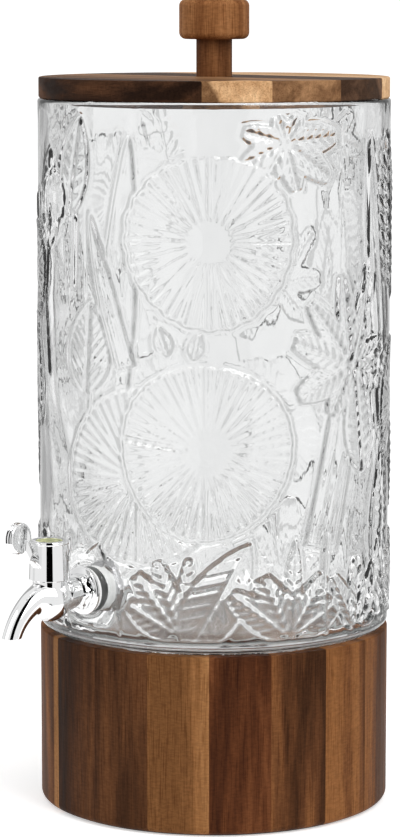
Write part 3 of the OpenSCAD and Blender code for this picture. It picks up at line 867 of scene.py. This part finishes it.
# ---------------------------------------------------------------- wood
# Dark, middle and light tones of each stave, from the first one anticlockwise as seen from above.
UMBER = ((38, 22, 12), (66, 40, 23), (92, 58, 34))
RED_BROWN = ((50, 25, 13), (78, 43, 23), (104, 62, 36))
CHESTNUT = ((58, 34, 18), (88, 54, 31), (118, 76, 44))
TAWNY = ((72, 42, 20), (102, 63, 34), (128, 84, 48))
HONEY = ((104, 68, 38), (130, 88, 52), (152, 108, 68))
STAVE_TONES = [TAWNY, CHESTNUT, RED_BROWN, HONEY, UMBER, TAWNY, RED_BROWN, CHESTNUT, HONEY]
STAVE_TONES += [UMBER, CHESTNUT, TAWNY, UMBER, UMBER, HONEY, RED_BROWN, CHESTNUT, TAWNY]
# A narrow strip of pale sapwood runs up the right side of one stave. Its direction is along the rim.
STRIP_STAVE = 12
STRIP = ((0.947, -0.322, 0.0), -0.0033, 0.0033, 0.0006, 0.0, ((126, 86, 48), (152, 108, 66), (172, 128, 84)))
for k, tones in enumerate(STAVE_TONES):
    stave = f"base_stave_{k + 1:02d}"
    strip = STRIP if k + 1 == STRIP_STAVE else None
    finish_cad(stave, acacia("acacia_" + stave, *tones, seed=k * 1.7, lean=(k % 5 - 2) * 1.2, streak=strip))

WALNUT = ((34, 20, 12), (58, 37, 24), (88, 58, 38))
BOARD = ((90, 62, 40), (124, 90, 62), (154, 116, 82))
DEEP_BOARD = ((62, 44, 32), (90, 66, 50), (118, 88, 66))
SAPWOOD = ((190, 148, 106), (214, 173, 130), (232, 196, 154))
BOARD_TONES = [WALNUT, SAPWOOD, BOARD, DEEP_BOARD, SAPWOOD, SAPWOOD]
# The pale second board turns to heartwood on a slant towards its middle.
HEART_BOARD = 2
HEART = ((1.0, 0.0, 0.35), -0.5, 0.224, 0.0015, 0.006, ((96, 66, 42), (128, 94, 64), (160, 122, 88)))
for k, tones in enumerate(BOARD_TONES):
    board = f"lid_board_{k + 1}"
    heart = HEART if k + 1 == HEART_BOARD else None
    wood = acacia("acacia_" + board, *tones, grain="X", seed=3.1 + k * 2.3, lean=2.0 - k, streak=heart)
    finish_cad(board, wood)
finish_cad("base_shelf", acacia("acacia_shelf", (74, 50, 32), (104, 76, 52), (132, 100, 72), "X", 9.4))
KNOB = ((118, 74, 42), (146, 98, 60), (172, 122, 80))
STEM = ((78, 46, 25), (102, 64, 38), (126, 84, 52))
finish_cad("knob_head", acacia("acacia_knob", *KNOB, seed=5.2, figure=60))
finish_cad("knob_stem", acacia("acacia_stem", *STEM, seed=6.6, figure=60))

# ---------------------------------------------------------------- floor, light and camera
VIEW = 44.5  # degrees from the tap to the camera, to the right
CAMERA_REACH = 1.8356
CAMERA_HEIGHT = 0.4775
CAMERA_DIP = 7.765  # degrees below level
CAMERA_PAN = 0.259  # degrees to the left
CAMERA_LENS = 134.04


def towards(turn):
    """Unit vector out from the jar's axis at a turn from the tap."""
    return math.sin(math.radians(turn)), -math.cos(math.radians(turn))


def make_floor():
    rings = [0.004, 0.12, 0.2, 0.3, 0.45]
    angle = np.radians(np.arange(128) * 360 / 128)
    points = [np.stack([r * np.cos(angle), r * np.sin(angle), 0 * angle], axis=-1) for r in rings]
    points = np.array(points).reshape(-1, 3) / MM
    piece = build("studio_floor", points, ring_faces(len(rings), 128)[:-2])
    t = Tree("pale_floor")
    cloud = t.noise(t.mapped((1, 1, 1)), 3.0)
    t.set(Base_Color=t.ramp(cloud, [(0.3, (0.86, 0.86, 0.86, 1)), (0.7, (0.9, 0.9, 0.9, 1))]), Roughness=0.9)
    t.set(Specular_IOR_Level=0.0, Emission_Color=(1.0, 1.0, 1.0, 1.0), Emission_Strength=0.42)
    dress(piece, t.material)


make_floor()


def studio_world():
    """A white tent with a few dark cards. Only reflections and refractions show the cards."""
    world = bpy.data.worlds.new("studio")
    bpy.context.scene.world = world
    world.use_nodes = True
    node, link = world.node_tree.nodes, world.node_tree.links
    background = node["Background"]
    background.inputs["Color"].default_value = (1.0, 1.0, 1.0, 1.0)
    direction = node.new("ShaderNodeTexCoord").outputs["Generated"]

    def vector_math(operation, source, second):
        n = node.new("ShaderNodeVectorMath")
        n.operation = operation
        link.new(source, n.inputs[0])
        if second is not None:
            n.inputs[1].default_value = second
        return n

    flat = vector_math("MULTIPLY", direction, (1, 1, 0)).outputs[0]
    flat = vector_math("NORMALIZE", flat, None).outputs[0]
    split = node.new("ShaderNodeSeparateXYZ")
    link.new(direction, split.inputs[0])

    def stepped(value, low, high):
        n = node.new("ShaderNodeMapRange")
        n.interpolation_type = "SMOOTHSTEP"
        link.new(value, n.inputs["Value"])
        n.inputs["From Min"].default_value = low
        n.inputs["From Max"].default_value = high
        return n.outputs["Result"]

    def scalar(operation, first, second):
        n = node.new("ShaderNodeMath")
        n.operation = operation
        for value, target in ((first, n.inputs[0]), (second, n.inputs[1])):
            if isinstance(value, (int, float)):
                target.default_value = value
            else:
                link.new(value, target)
        return n.outputs[0]

    def shade_of(card):
        turn, half, soft, bottom, top, depth = card
        facing = vector_math("DOT_PRODUCT", flat, (*towards(turn), 0)).outputs["Value"]
        beside = stepped(facing, math.cos(math.radians(half + soft)), math.cos(math.radians(half - soft)))
        below = stepped(split.outputs[2], math.sin(math.radians(top + 6)), math.sin(math.radians(top - 6)))
        foot = math.sin(math.radians(bottom))
        above = stepped(split.outputs[2], foot - 0.07, foot + 0.07)
        return scalar("MULTIPLY", scalar("MULTIPLY", beside, scalar("MULTIPLY", below, above)), depth)

    path = node.new("ShaderNodeLightPath")
    reflected = scalar("SUBTRACT", 1.0, path.outputs["Is Transmission Ray"])
    shade = scalar("MULTIPLY", shade_of(STRIPE), reflected)
    for card in CARDS:
        shade = scalar("MAXIMUM", shade, shade_of(card))
    tone = scalar("SUBTRACT", WORLD_TONE, shade)

    def swapped(ray, otherwise, level):
        n = node.new("ShaderNodeMix")
        n.data_type = "FLOAT"
        link.new(path.outputs[ray], n.inputs[0])
        link.new(otherwise, n.inputs[2])
        n.inputs[3].default_value = level
        return n.outputs[0]

    lit = swapped("Is Camera Ray", swapped("Is Diffuse Ray", tone, AMBIENT), BACKDROP)
    link.new(lit, background.inputs["Strength"])


WORLD_TONE = 0.94  # in reflections and through the glass
AMBIENT = 0.68  # on matt surfaces
BACKDROP = 1.15  # as the camera sees it
# Turn, half width, softness, bottom and top of each card in degrees, and how dark it is
STRIPE = (VIEW + 4, 18, 1.0, -90, 75, 0.94)  # seen only in reflections, down the middle of the chrome
CARDS = [
    (VIEW + 107, 4, 3, -90, 50, 0.45),
    (VIEW - 98, 6, 6, -90, 50, 0.15),
    (VIEW + 166, 5, 4, -90, 50, 0.3),
    (VIEW - 166, 5, 4, -90, 50, 0.3),
    (VIEW + 151, 8, 4, -90, 50, 0.5),
    (VIEW - 151, 8, 4, -90, 50, 0.52),
    (VIEW + 180, 50, 10, 8, 30, 0.4),
]
studio_world()


def softbox(name, turn, reach, height, size, power):
    lamp = bpy.data.lights.new(name, "AREA")
    lamp.shape = "RECTANGLE"
    lamp.size, lamp.size_y = size
    lamp.energy = power
    out = bpy.data.objects.new(name, lamp)
    bpy.context.scene.collection.objects.link(out)
    x, y = towards(turn)
    out.location = (reach * x, reach * y, height)
    aim = Vector((0, 0, 0.25)) - out.location
    out.rotation_euler = aim.to_track_quat("-Z", "Y").to_euler()


softbox("key", VIEW + 38, 1.6, 1.5, (1.0, 1.4), 22)
softbox("fill", VIEW - 60, 1.8, 1.2, (1.0, 1.4), 8)

camera = bpy.data.objects.new("camera", bpy.data.cameras.new("camera"))
bpy.context.scene.collection.objects.link(camera)
x, y = towards(VIEW)
camera.location = (CAMERA_REACH * x, CAMERA_REACH * y, CAMERA_HEIGHT)
camera.rotation_euler = (math.radians(90 - CAMERA_DIP), 0, math.radians(VIEW + CAMERA_PAN))
camera.data.lens = CAMERA_LENS
camera.data.sensor_width = 36.0
camera.data.clip_start = 0.05
bpy.context.scene.camera = camera
bpy.context.scene.view_settings.view_transform = "Standard"
bpy.context.scene.cycles.max_bounces = 16
bpy.context.scene.cycles.transmission_bounces = 14
